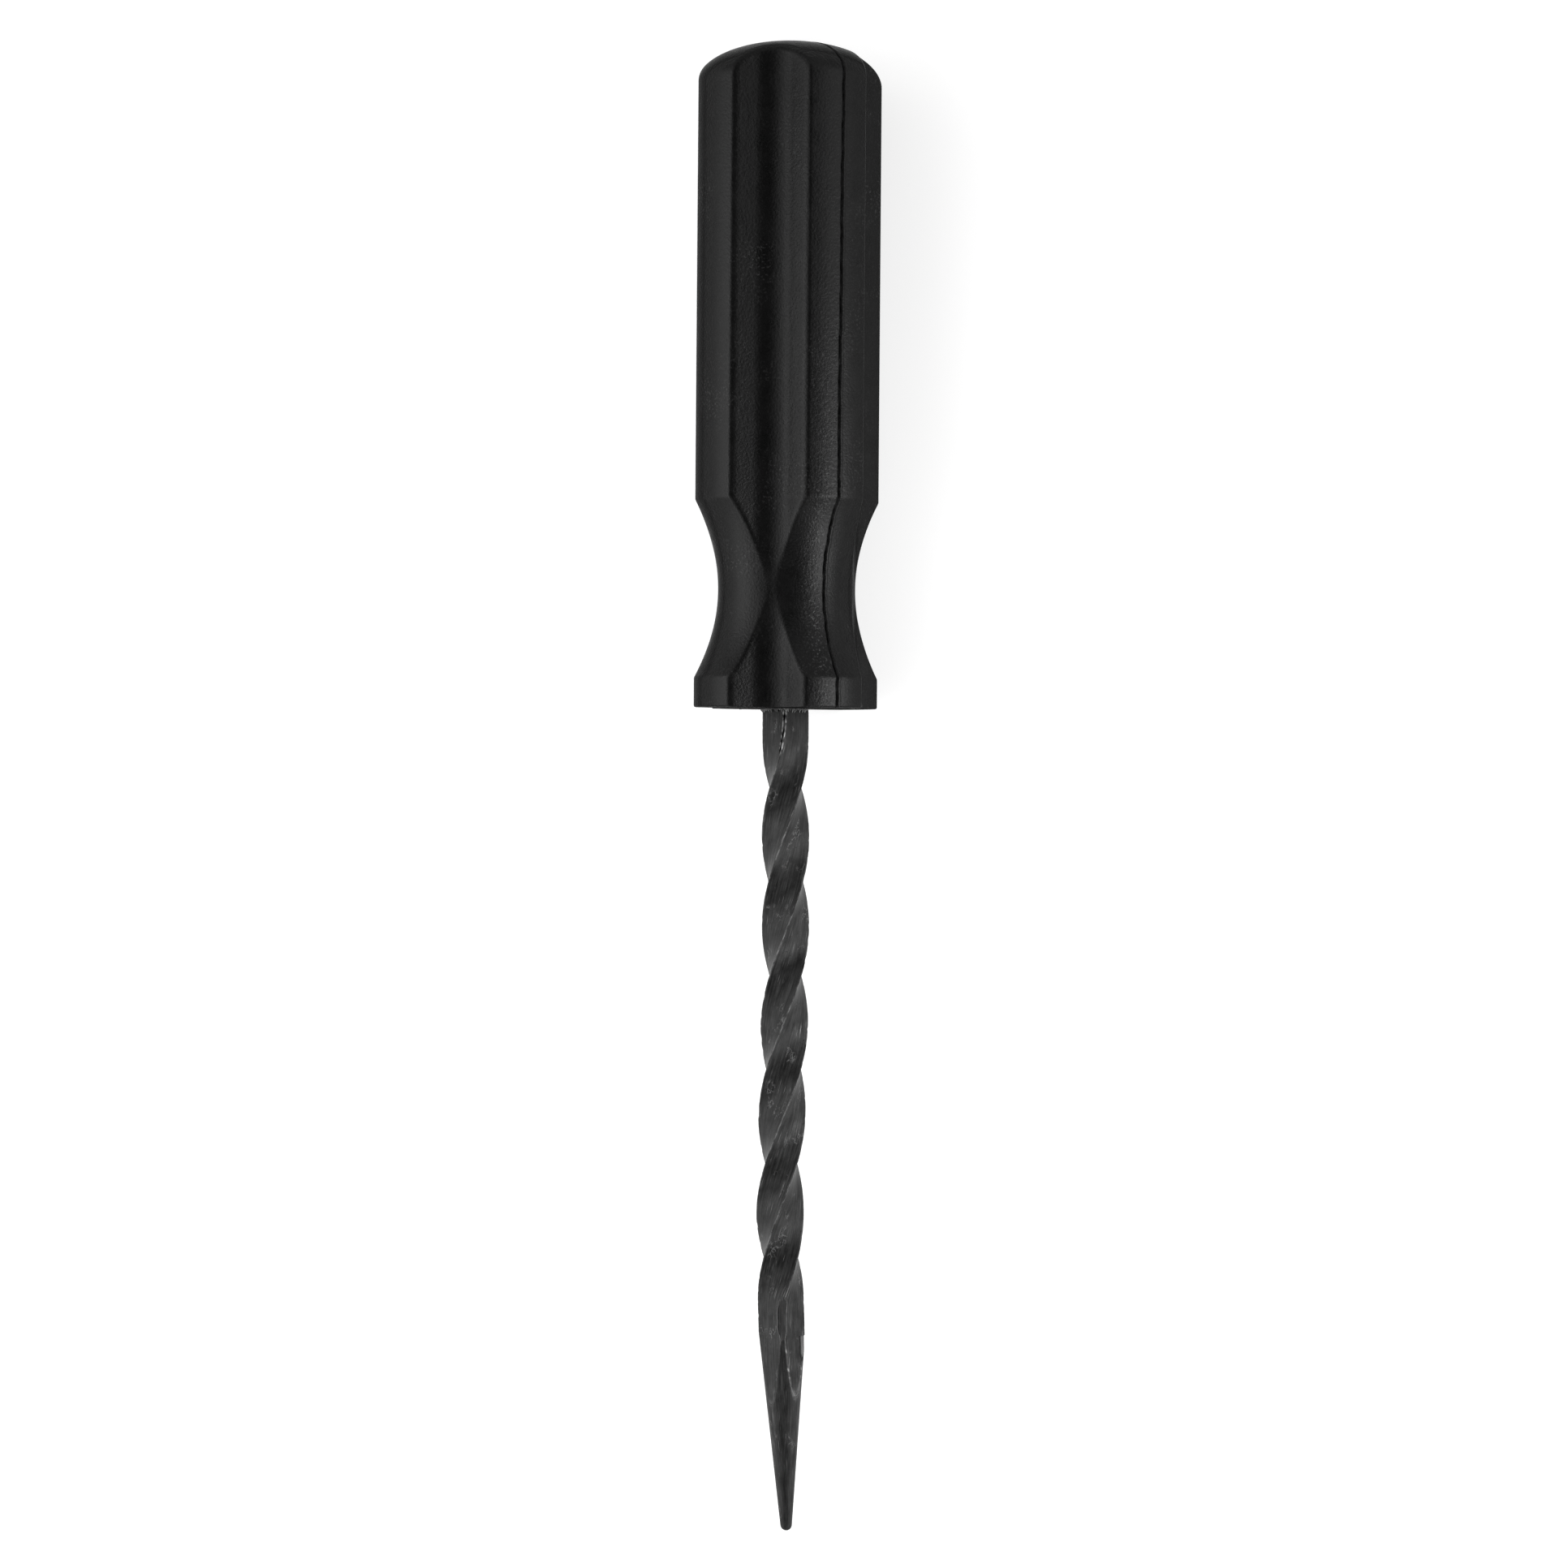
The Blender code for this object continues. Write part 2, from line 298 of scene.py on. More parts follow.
SCRATCHED_RANGE = (0.47, 0.58)
PIT = dict(scale=2.6, roughness=0.6)
PIT_RANGE = (0.68, 0.76)
PIT_TONE = 0.5
PIT_DEPTH = 0.03 * MM
WORN = dict(stretch=(0.6, 0.6, 1.0), detail=4.0, roughness=0.7)
WORN_RANGE = (0.43, 0.62)
RIM_HIGHLIGHT_SHARES = (0.1, 0.9)
TEAR = dict(stretch=(1.3, 0.8, 1.0), detail=3.0, roughness=0.6)
TEAR_MIDDLE = 0.5
TEAR_REACH = 0.035
TEAR_HEIGHT = 0.02 * MM
TORN = dict(stretch=(0.45, 0.3, 1.0))
TORN_RANGE = (0.58, 0.66)
# Painted shade in the chewed bites and in the filed flats' undercuts
BITE_SHADE_RANGE = (0.3, 0.6)
BITE_SHADE_TONE = 0.15

# Light: two soft walls of it to the left and right, with a dark gap overhead and less toward the ends
WALL_LIGHT = 1.9
GAP_LIGHT = 0.06
GAP_TURN = math.radians(12.0)
GAP_INNER = math.radians(22.0)
GAP_OUTER = math.radians(48.0)
WALL_MIDDLE = 0.26
WALL_END = 0.75
END_SHARE = 0.4
FLOOR_COLOUR = 0.5
FLOOR_GLOW = 0.6
FLOOR_REACH = 6.0

# Soft boxes beside the tool, left and right: place, length along it, height and power
LAMPS = {
    "left soft box": ((-130 * MM, -50 * MM, 72 * MM), 300 * MM, 80 * MM, 0.19),
    "right soft box": ((140 * MM, -35 * MM, 55 * MM), 170 * MM, 70 * MM, 0.23),
}

# Camera, as the photograph was taken: above the tool, turned a little toward +X
IMAGE_PIXELS = 1932
FOCAL_PIXELS = 5500
SENSOR = 36.0
CLIP_START = 0.01
CAMERA_TURN = math.radians(12.7)
CAMERA_ROLL = math.radians(0.45)
CAMERA_DISTANCE = 540.2 * MM
AIM_ACROSS = -0.13 * MM
AIM_ALONG = 0.34 * MM


def soft_min(a, b, blend):
    """The lesser of two heights, run together over a soft edge."""
    near = np.maximum(0.0, 1 - np.abs(a - b) / blend)
    return np.minimum(a, b) - blend * near**2 / 4


def near_zero(values, reach):
    """One where a value is zero, falling away over its reach."""
    return np.exp(-((values / reach) ** 2))


def grid_mesh(name, rows, attributes):
    """A closed mesh through rings of points, with a point on the axis closing each end."""
    count, around = rows.shape[:2]
    ends = np.array([rows[0].mean(0), rows[-1].mean(0)])
    points = np.concatenate([rows.reshape(-1, 3), ends])
    first, last = count * around, count * around + 1
    ring = np.arange(around)
    after = (ring + 1) % around
    faces = []
    for row in range(count - 1):
        here, there = row * around, (row + 1) * around
        faces += np.stack([here + ring, there + ring, there + after, here + after], 1).tolist()
    faces += [(first, int(a), int(b)) for a, b in zip(ring, after)]
    top = (count - 1) * around
    faces += [(last, top + int(b), top + int(a)) for a, b in zip(ring, after)]
    mesh = bpy.data.meshes.new(name)
    mesh.from_pydata(points.tolist(), [], faces)
    mesh.shade_smooth()
    add_bake_map(mesh, rows)
    for key, values in attributes.items():
        kind, field = ("FLOAT_VECTOR", "vector") if values.ndim == 3 else ("FLOAT", "value")
        at_ends = [values[end].mean(0).reshape(1, -1) for end in (0, -1)]
        flat = np.concatenate([values.reshape(count * around, -1), *at_ends])
        made = mesh.attributes.new(key, kind, "POINT")
        made.data.foreach_set(field, flat.astype(np.float32).ravel())
    return mesh


def add_bake_map(mesh, rows):
    """A map of the mesh for baked pictures: round the rings across it, along the surface up it."""
    count, around = rows.shape[:2]
    steps = np.linalg.norm(np.diff(rows, axis=0), axis=2).mean(1)
    up = np.concatenate([[0.0], np.cumsum(np.maximum(steps, 1e-6))])
    up = MAP_MARGIN + (1 - 2 * MAP_MARGIN) * up / up[-1]
    up = np.concatenate([np.repeat(up, around), [0.0, 1.0]])
    across = np.concatenate([np.tile(np.arange(around) / around, count), [0.5, 0.5]])
    corners = np.empty(len(mesh.loops), dtype=np.int64)
    mesh.loops.foreach_get("vertex_index", corners)
    places = np.stack([across[corners], up[corners]], 1)
    seam = (count - 1) * 4 * around
    quads = places[:seam].reshape(-1, 4, 2)
    tips = places[seam:].reshape(-1, 3, 2)
    for faces in (quads, tips[:, 1:]):
        wide = np.ptp(faces[..., 0], axis=1) > 0.5
        faces[..., 0] += wide[:, None] * (faces[..., 0] < 0.5)
    tips[:, 0, 0] = tips[:, 1:, 0].mean(1)
    mesh.uv_layers.new(name="OFBake").uv.foreach_set("vector", places.astype(np.float32).ravel())


def add_piece(name, mesh, node):
    piece = bpy.data.objects.new(name, mesh)
    bpy.context.scene.collection.objects.link(piece)
    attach(piece, "root")
    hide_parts(node)
    return piece


def grid_normals(rows):
    """Outward unit normals of a grid of points that closes round each row."""
    along = np.gradient(rows, axis=0)
    around = np.roll(rows, -1, 1) - np.roll(rows, 1, 1)
    normals = np.cross(along, around)
    length = np.linalg.norm(normals, axis=2, keepdims=True)
    return normals / np.maximum(length, 1e-15)


def wave(values, *terms):
    """A sum of sines of unlike lengths, for lines that wander a little."""
    return sum(np.sin(2 * math.pi * values / length + phase) for length, phase in terms) / len(terms)


def flute_wall(angle):
    """Distance from the handle's axis to a flute's floor or wall, at an angle from its middle."""
    angle = np.abs(angle)
    centre = FLUTE_FLOOR_RADIUS + FLUTE_FLOOR_ARC
    tangent = math.atan2(
        FLUTE_FLOOR_ARC * math.sin(FLUTE_WALL_SLOPE),
        centre - FLUTE_FLOOR_ARC * math.cos(FLUTE_WALL_SLOPE),
    )
    under = np.maximum(FLUTE_FLOOR_ARC**2 - (centre * np.sin(angle)) ** 2, 0)
    floor = centre * np.cos(angle) - np.sqrt(under)
    wall = FLUTE_APEX * math.cos(FLUTE_WALL_SLOPE) / np.cos(angle + FLUTE_WALL_SLOPE)
    return np.where(angle < tangent, floor, wall)


def handle_turns():
    """Angles round the handle, closer together beside the mould line."""
    coarse = np.radians(np.arange(0, 360, TURN_STEP))
    past_reach = LINE_TURN_REACH + LINE_TURN_STEP / 2
    fine = np.radians(np.arange(-LINE_TURN_REACH, past_reach, LINE_TURN_STEP))
    lines = (MOULD_LINE_TURN, MOULD_LINE_TURN + math.pi)
    clear = fine[-1] + LINE_TURN_GAP
    keep = [turn for turn in coarse if min(abs(turn - line) for line in lines) > clear]
    return np.sort(np.concatenate([keep, *(line + fine for line in lines)]))


def dome_stations():
    """Distance from the front face, radius and edge blend of the lands over the dome."""
    crown = np.linspace(*CROWN_DEGREES, CROWN_ROWS)
    climb = np.radians(np.concatenate([crown, np.linspace(*DOME_DEGREES, DOME_ROWS)]))
    slope = GRIP_RADIUS / DOME_HEIGHT * np.tan(climb)
    blend = np.minimum(DOME_EDGE_BLEND, LAND_EDGE_BLEND * np.hypot(1, slope))
    along = HANDLE_LENGTH - DOME_HEIGHT + DOME_HEIGHT * np.sin(climb)
    return along, GRIP_RADIUS * np.cos(climb), blend


def grip_stations(waist, half_neck):
    """The same over the grip, the neck and the collar."""
    neck_top = waist + half_neck + NECK_MARGIN
    grip = np.linspace(HANDLE_LENGTH - DOME_HEIGHT, neck_top, GRIP_ROWS)[1:-1]
    neck = np.linspace(neck_top, FRONT_EDGE_BREAK, NECK_ROWS)
    along = np.concatenate([grip, neck])
    from_waist = np.minimum(np.abs(along - waist), NECK_ARC_REACH)
    arc = WAIST_RADIUS + NECK_ARC_RADIUS - np.sqrt(NECK_ARC_RADIUS**2 - from_waist**2)
    radius = soft_min(np.full_like(along, GRIP_RADIUS), arc, SHOULDER_BLEND)
    depth = (radius - FLUTE_FLOOR_RADIUS) / (GRIP_RADIUS - FLUTE_FLOOR_RADIUS)
    return along, radius, LAND_EDGE_BLEND * (WAIST_EDGE_SHARE + (1 - WAIST_EDGE_SHARE) * depth)


def edge_stations():
    """The same round the broken edge of the front face."""
    turn = np.radians(EDGE_DEGREES)
    along = FRONT_EDGE_BREAK * (1 - np.sin(turn))
    radius = GRIP_RADIUS - FRONT_EDGE_BREAK * (1 - np.cos(turn))
    return along, radius, np.full(len(turn), LAND_EDGE_BLEND)


def handle_stations():
    """The same for the whole handle, and how far the flutes sink in."""
    depth = GRIP_RADIUS - WAIST_RADIUS
    half_neck = math.sqrt(2 * NECK_ARC_RADIUS * depth - depth * depth)
    waist = COLLAR_LENGTH + half_neck
    parts = (dome_stations(), grip_stations(waist, half_neck), edge_stations())
    along, land, blend = [np.concatenate(column) for column in zip(*parts)]
    sink = WAIST_SINK * near_zero(along - waist, WAIST_SINK_LENGTH)
    return along, land, blend, sink


def bar_reach(turn, span, thickness):
    """Distance from the axis to the outline of the bar's section in the handle, along each angle."""
    across = np.abs(np.cos(turn - math.pi / 4 - BAR_TURN))
    through = np.abs(np.sin(turn - math.pi / 4 - BAR_TURN))
    return 1 / np.maximum(across / (span / 2), through / (thickness / 2))


def ring(radius, along, turn):
    along = np.broadcast_to(along, turn.shape)
    return np.stack([radius * np.sin(turn), along, radius * np.cos(turn)], 1)


def front_rings(turn, outline):
    """Rings over the front face, its ragged flash and the socket, from the face's rim inward."""
    mouth = bar_reach(turn, BAR_WIDTH, BAR_THICKNESS) + MOUTH_GAP
    flash_foot = mouth + FLASH_WIDTH
    rings = []
    for share in FACE_STEPS:
        rings.append(ring(outline + (flash_foot - outline) * share, 0.0, turn))
    ways = [Vector((math.cos(t), math.sin(t), 0)) for t in turn]
    ragged = np.array([noise.noise(way * FLASH_RAGGED) for way in ways])
    height = FLASH_HEIGHT * np.clip(FLASH_MEAN + FLASH_SWING * ragged, FLASH_LEAST, 1.0)
    for share, lift, _ in FLASH_SECTION:
        rings.append(ring(mouth + FLASH_WIDTH * share, -height * lift, turn))
    loose = 2 * TANG_CLEARANCE
    stations = [
        (MOUTH_DEPTH, BAR_WIDTH + 2 * MOUTH_GAP, BAR_THICKNESS + 2 * MOUTH_GAP),
        (MOUTH_END, BAR_WIDTH + loose, BAR_THICKNESS + loose),
        (WING_START - WING_RAMP, BAR_WIDTH + loose, BAR_THICKNESS + loose),
        (WING_START, WING_SPAN + loose, WING_THICKNESS + loose),
        (WING_START + WING_LENGTH, WING_SPAN + loose, WING_THICKNESS + loose),
        (WING_START + WING_LENGTH + WING_RAMP, BAR_WIDTH + loose, BAR_THICKNESS + loose),
        (TANG_DEPTH + TANG_CLEARANCE, BAR_WIDTH + loose, BAR_THICKNESS + loose),
    ]
    for along, span, thickness in stations:
        rings.append(ring(bar_reach(turn, span, thickness), along, turn))
    return np.array(rings)


def mould_line(rows):
    """How far the mould line's groove and lip move each point outward, and the marks beside it."""
    across = rows[..., 0] * math.cos(MOULD_LINE_TURN) - rows[..., 2] * math.sin(MOULD_LINE_TURN)
    along = rows[..., 1] / MM
    wander = MOULD_LINE_WANDER * wave(along, *MOULD_LINE_WAVES)
    slant = MOULD_LINE_SLANT * np.maximum(rows[..., 1] - MOULD_LINE_SLANT_START, 0)
    across = across - wander - slant
    rough = 1 + MOULD_DEPTH_SWING * wave(along, *MOULD_DEPTH_WAVES)
    groove = near_zero(across, MOULD_LINE_WIDTH)
    lip = near_zero(across - MOULD_LIP_PLACE, MOULD_LIP_WIDTH)
    low_down = np.clip((HANDLED_END - rows[..., 1]) / HANDLED_FADE, HANDLED_LEAST, 1)
    handled = low_down * near_zero(across + HANDLED_PLACE, HANDLED_WIDTH)
    return MOULD_LIP_HEIGHT * lip - MOULD_LINE_DEPTH * rough * groove, groove, handled


def build_handle():
    turn = handle_turns()
    along, land, blend, sink = handle_stations()
    from_middle = (turn + FLUTE_PITCH / 2) % FLUTE_PITCH - FLUTE_PITCH / 2
    wall = flute_wall(from_middle)[None, :] - sink[:, None]
    radius = soft_min(land[:, None], wall, blend[:, None])
    lengthwise = np.broadcast_to(along[:, None], radius.shape)
    rows = np.stack([radius * np.sin(turn), lengthwise, radius * np.cos(turn)], 2)
    move, groove, handled = mould_line(rows)
    rows = rows + grid_normals(rows) * move[..., None]
    inner = front_rings(turn, np.linalg.norm(rows[-1][:, ::2], axis=1))
    outer_zero, inner_zero = np.zeros(groove.shape), np.zeros(inner.shape[:2])
    front, flash = inner_zero.copy(), inner_zero.copy()
    face_end = len(FACE_STEPS)
    front[:face_end] = 1.0
    flash[face_end:face_end + len(FLASH_SECTION)] = [[torn] for *_, torn in FLASH_SECTION]
    attributes = {
        "handled": np.concatenate([handled, inner_zero]),
        "groove": np.concatenate([groove, inner_zero]),
        "flash": np.concatenate([outer_zero, flash]),
        "front": np.concatenate([outer_zero, front]),
    }
    rows = np.concatenate([rows, inner]) + np.array([0, FRONT_Y, AXIS_HEIGHT])
    mesh = grid_mesh("handle_moulding", rows, attributes)
    return add_piece("handle_moulding", mesh, "handle")


def bar_section():
    """Points round the bar's section: place, way past the nearest corner, run and that corner."""
    half_w, half_t = BAR_WIDTH / 2, BAR_THICKNESS / 2
    near = np.array(CORNER_SHARES)
    between = np.linspace(FACE_MARGIN, 1 - FACE_MARGIN, FACE_COLUMNS)
    face = np.concatenate([near, between, 1 - near[::-1]])
    arc = np.radians(CORNER_DEGREES)
    places, ways, runs, corners = [], [], [], []
    run = 0.0
    for quarter in range(4):
        long, wide = (half_t, half_w) if quarter % 2 == 0 else (half_w, half_t)
        flat = long - BAR_CORNER
        place = -flat + 2 * flat * face
        sunk = BAR_HOLLOW * (1 - (place / flat) ** 2)
        spin = quarter * math.pi / 2
        local = np.stack([wide - sunk, place], 1)
        corner = np.stack([wide - BAR_CORNER * (1 - np.cos(arc)), flat + BAR_CORNER * np.sin(arc)], 1)
        turned = np.array([[math.cos(spin), -math.sin(spin)], [math.sin(spin), math.cos(spin)]])
        places.append(np.concatenate([local, corner]) @ turned.T)
        ways.append(np.concatenate([(flat - np.abs(place)) * np.sign(place), np.zeros(len(arc))]))
        runs.append(np.concatenate([run + place + flat, run + 2 * flat + BAR_CORNER * arc]))
        corners.append(np.concatenate([(quarter + (place > 0) - 1) % 4, np.full(len(arc), quarter)]))
        run += 2 * flat + FACE_RUN_GAP
    return [np.concatenate(column) for column in (places, ways, runs, corners)]


def twist_turn(along):
    """Turn of the bar at each distance from the front face: the twist eases in and out."""
    def ramp(past, ease):
        eased = np.clip(past / ease + 0.5, 0, 1)
        return ease * eased**2 / 2 + np.maximum(past - ease / 2, 0)

    turned = ramp(along - STRAIGHT_NECK, TWIST_EASE_IN) - ramp(along - TWIST_END, TWIST_EASE_OUT)
    return BAR_TURN - 2 * math.pi * TWIST_TURNS * turned / TWIST_LENGTH


def point_radius(along):
    """Radius of the ground cone and its round nose at each distance from the front face."""
    foot = NOSE_RADIUS * math.cos(POINT_HALF_ANGLE)
    start = REACH - NOSE_RADIUS * (1 - math.sin(POINT_HALF_ANGLE))
    cone = foot + (start - along) * math.tan(POINT_HALF_ANGLE)
    nose = np.sqrt(np.maximum(NOSE_RADIUS**2 - (along - REACH + NOSE_RADIUS) ** 2, 0))
    return np.where(along > start, nose, cone)


def shank_stations():
    """Distances forward from the front face, and the scale of the section's width and thickness."""
    wing = (WING_SPAN / BAR_WIDTH, WING_THICKNESS / BAR_THICKNESS)
    tang = [
        (-TANG_DEPTH, 1, 1),
        (-WING_START - WING_LENGTH - WING_RAMP, 1, 1),
        (-WING_START - WING_LENGTH, *wing),
        (-WING_START, *wing),
        (-WING_START + WING_RAMP, 1, 1),
    ]
    stretches = [np.arange(*stretch) * MM for stretch in SHANK_STRETCHES]
    nose = REACH - NOSE_RADIUS * (1 - np.sin(np.radians(NOSE_DEGREES)))
    rows = np.array(tang + [(along, 1, 1) for along in np.concatenate([*stretches, nose])])
    return rows[:, 0], rows[:, 1], rows[:, 2]


def noise_field(u, v, w):
    """Smooth noise between about -1 and 1 at each place given by three arrays that fit together."""
    u, v, w = np.broadcast_arrays(u, v, w)
    values = [noise.noise(Vector(place)) for place in zip(u.ravel(), v.ravel(), w.ravel())]
    return np.array(values).reshape(u.shape)


def shank_bow(along):
    """How far the bar strays to +X along its length, as twisting leaves it."""
    share = np.clip(along / SHANK_BOW_LENGTH, 0, 1)
    fade = np.clip((SHANK_BOW_END - along) / SHANK_BOW_FADE, 0, 1)
    return SHANK_BOW * np.sin(2 * math.pi * share**SHANK_BOW_SKEW) * fade


def file_flat(x, z, along, flat):
    """A flat filed on a corner of the bar's end, and how far the bar stood out of it."""
    begun = np.clip((along - flat.start) / (flat.full - flat.start), 0, 1)
    remaining = np.clip((flat.end - along) / (flat.end - flat.fade), 0, 1)
    here = flat.depth * np.sqrt(1 - (1 - begun) ** 2) * remaining
    sine, cosine = math.sin(flat.turn), math.cos(flat.turn)
    corner = math.hypot(BAR_WIDTH, BAR_THICKNESS) / 2 * math.cos(flat.corner_turn - flat.turn)
    over = x * sine + z * cosine - (corner - here)[:, None]
    over = np.where(here[:, None] > 0, over, -1 * MM)
    lift = np.maximum(over, 0)
    return x - lift * sine, z - lift * cosine, over


def left_of(x, z, turn):
    """Whether each point lies to the left of a turn round the bar, as the photograph sees it."""
    return x * math.cos(turn) < z * math.sin(turn)


def undercut(x, z, over, flat, cut):
    """A flat's undercut left margin, where painted shade goes, and the painted highlight beside it.
    """
    left = left_of(x, z, cut.middle)
    dug = near_zero(over - cut.place, cut.reach) * left
    edge_highlight = UNDERCUT_HIGHLIGHT * near_zero(over, UNDERCUT_HIGHLIGHT_REACH) * left
    x = x - cut.depth * dug * math.sin(flat.turn)
    return x, z - cut.depth * dug * math.cos(flat.turn), dug, edge_highlight


def roughen_bar(a, b, way, corner, along):
    """The bar's section with uneven faces, nicked corners and the chewed corner at the handle."""
    s = along[:, None] / MM

    def grain(size, shift_a=0.0, shift_b=0.0):
        across, lengthwise = size
        return noise_field(a / MM * across + shift_a, s * lengthwise, b / MM * across + shift_b)

    pull = FACE_UNEVEN * grain(FACE_GRAIN)
    pull += FACE_UNEVEN * RIPPLE_SHARE * grain(RIPPLE_GRAIN, shift_b=7)
    swell = np.clip(along / CORNER_SWELL_RAMP, 0, 1)
    swell = swell * np.clip((TWIST_END - along) / CORNER_SWELL_RAMP, 0, 1)
    pull += CORNER_SWELL * swell[:, None] * near_zero(way, CORNER_SWELL_REACH)[None, :]
    nick = noise_field(s * NICKS_PER_MM, corner[None, :] * CORNER_SHIFT, 0.0) - NICK_FROM
    pull -= NICK_DEPTH * np.clip(nick, 0, NICK_RISE) / NICK_RISE * near_zero(way, NICK_REACH)[None, :]

    chewed = np.clip((along - CHEWED_START) / CHEWED_RISE, 0, 1)
    chewed = chewed * np.clip((CHEWED_LENGTH - along) / CHEWED_FADE, 0, 1)
    chewed = chewed[:, None] * (corner == 0)[None, :]
    torn = np.clip(grain(CHEW_GRAIN, shift_b=3) * CHEW_CONTRAST + CHEW_LEVEL, 0, 1)
    from_marks = way + CHEW_PLACE
    # Chewed bites, dented here and given painted shade in the steel's colour
    shade_bite = chewed * torn * near_zero(from_marks, CHEW_REACH)[None, :]
    broken = np.clip(grain(BURR_GRAIN, shift_a=9) * BURR_CONTRAST + BURR_LEVEL, 0, 1)
    burr = chewed * broken * near_zero(np.abs(from_marks) - BURR_PLACE, BURR_WIDTH)[None, :]
    pull += BURR_HEIGHT * burr - CHEW_DEPTH * shade_bite

    outside = np.clip((along + ROUGH_FADE) / ROUGH_FADE, 0, 1)[:, None]
    grow = 1 + np.minimum(pull, MOST_SWELL) * outside / np.maximum(np.hypot(a, b), TINY)
    return a * grow, b * grow, shade_bite, burr


def grind_point(x, z, along):
    """The bar's end ground to the cone, and how far the bar stood out of it."""
    z = z + GRIND_OFFSET
    reach = np.hypot(x, z)
    limit = np.where(along < GRIND_START, UNCUT_RADIUS, point_radius(along))[:, None]
    share = np.minimum(1, limit / np.maximum(reach, TINY))
    return x * share, z * share - GRIND_OFFSET, reach - limit


def work_end(x, z, along, shade_bite, burr):
    """The shank's ground and filed end, and its marks, with painted highlights and shade among them.
    """
    x, z, cut = grind_point(x, z, along)
    x, z, near = file_flat(x, z, along, NEAR_FLAT)
    # Undercut of the near flat: painted shade in it, painted highlight beside it
    x, z, near_dug, edge_highlight = undercut(x, z, near, NEAR_FLAT, NEAR_UNDERCUT)
    cut = np.maximum(cut, near)
    left = (z > 0) & left_of(x, z, NEAR_FLAT.corner_turn)
    # Painted highlight along the rim of the ground cone and the filed flats
    rim = near_zero(cut, RIM_HIGHLIGHT_REACH) * (along > GRIND_START)[:, None]
    rim = rim * np.where(left & (along > BEADS_START)[:, None], RIM_HIGHLIGHT_LEFT_SHARE, 1.0)
    rim = np.maximum(rim, edge_highlight)

    x, z, side = file_flat(x, z, along, SIDE_FLAT)
    x, z, side_dug, _ = undercut(x, z, side, SIDE_FLAT, SIDE_UNDERCUT)
    cut = np.maximum(cut, side)
    ground, near, side = (np.clip(over / FLAT_EDGE, 0, 1) for over in (cut, near, side))
    # Beaded painted highlight on the rim right of the near corner, carried in the burr mark
    highlight_beads = np.clip(BEAD_CONTRAST * noise_field(along / MM * BEADS_PER_MM, 0.0, 4.0), 0, 1)
    highlight_beads = highlight_beads * ((along > BEADS_START) & (along < BEADS_END))
    marks = {
        "rim": rim,
        "burr": np.maximum(burr, rim * highlight_beads[:, None] * ((z > 0) & ~left)),
        "shade_bite": np.maximum(np.maximum(shade_bite, near_dug), side_dug),
        "filed": np.maximum(NEAR_FLAT_BARE * near, SIDE_FLAT_BARE_AND_HIGHLIGHT * side),
    }
    return x, z, ground, marks


def build_shank():
    section, way, run, corner = bar_section()
    along, span, thick = shank_stations()
    a = section[None, :, 0] * span[:, None]
    b = section[None, :, 1] * thick[:, None]
    a, b, shade_bite, burr = roughen_bar(a, b, way, corner, along)
    x = (a - b) / math.sqrt(2)
    z = (a + b) / math.sqrt(2)
    turn = twist_turn(along)[:, None]
    x, z = x * np.cos(turn) + z * np.sin(turn), z * np.cos(turn) - x * np.sin(turn)
    x, z, ground, marks = work_end(x, z, along, shade_bite, burr)
    lean = POINT_RUNOUT / (REACH - TWIST_END)
    x = x + (np.maximum(along - TWIST_END, 0) * lean + shank_bow(along))[:, None]

    lengthwise = np.broadcast_to(along[:, None], x.shape)
    rows = np.stack([x, FRONT_Y - lengthwise, z + AXIS_HEIGHT], 2)
    # Lighter worn corners, partly a painted highlight along them
    edge = near_zero(way, EDGE_WEAR_AND_HIGHLIGHT_REACH)[None, :] * (1 - ground)
    strip = np.stack([np.broadcast_to(run, x.shape), lengthwise, ground], 2)
    attributes = {"edge": edge, **marks, "strip": strip}
    from_tip = {key: value[::-1] for key, value in attributes.items()}
    mesh = grid_mesh("twisted_shank", rows[::-1], from_tip)
    return add_piece("twisted_shank", mesh, "shank")


def make_material(name):
    made = bpy.data.materials.new(name)
    made.use_nodes = True
    return made, made.node_tree, made.node_tree.nodes["Principled BSDF"]


def add_node(tree, kind, inputs, **settings):
    """A shader node with its settings, and its inputs either set or linked."""
    made = tree.nodes.new(kind)
    for key, value in settings.items():
        setattr(made, key, value)
    for key, value in inputs.items():
        if isinstance(value, bpy.types.NodeSocket):
            tree.links.new(value, made.inputs[key])
        else:
            made.inputs[key].default_value = value
    return made


def noise_map(tree, place, scale=1.0, detail=2.0, roughness=0.5, stretch=None):
    """A noise texture's value at a place, with features about one over the scale in size."""
    if stretch:
        place = scaled(tree, place, stretch)
    inputs = {"Vector": place, "Scale": scale, "Detail": detail, "Roughness": roughness}
    return add_node(tree, "ShaderNodeTexNoise", inputs).outputs["Fac"]


def remap(tree, value, low, high, to_low=0.0, to_high=1.0, **settings):
    """A value carried from one range to another and held inside it."""
    inputs = {"Value": value, "From Min": low, "From Max": high, "To Min": to_low, "To Max": to_high}
    return add_node(tree, "ShaderNodeMapRange", inputs, **settings).outputs["Result"]


def soft_step(tree, value, low, high, to_low, to_high):
    """A value carried smoothly from one level to another between two places."""
    return remap(tree, value, low, high, to_low, to_high, interpolation_type="SMOOTHSTEP")


def combine(tree, operation, a, b):
    return add_node(tree, "ShaderNodeMath", {0: a, 1: b}, operation=operation).outputs[0]


def absolute(tree, value):
    return add_node(tree, "ShaderNodeMath", {0: value}, operation="ABSOLUTE").outputs[0]


def raise_by(tree, value, mark, amount):
    """A value raised by an amount where a mark is."""
    return combine(tree, "ADD", value, combine(tree, "MULTIPLY", mark, amount))


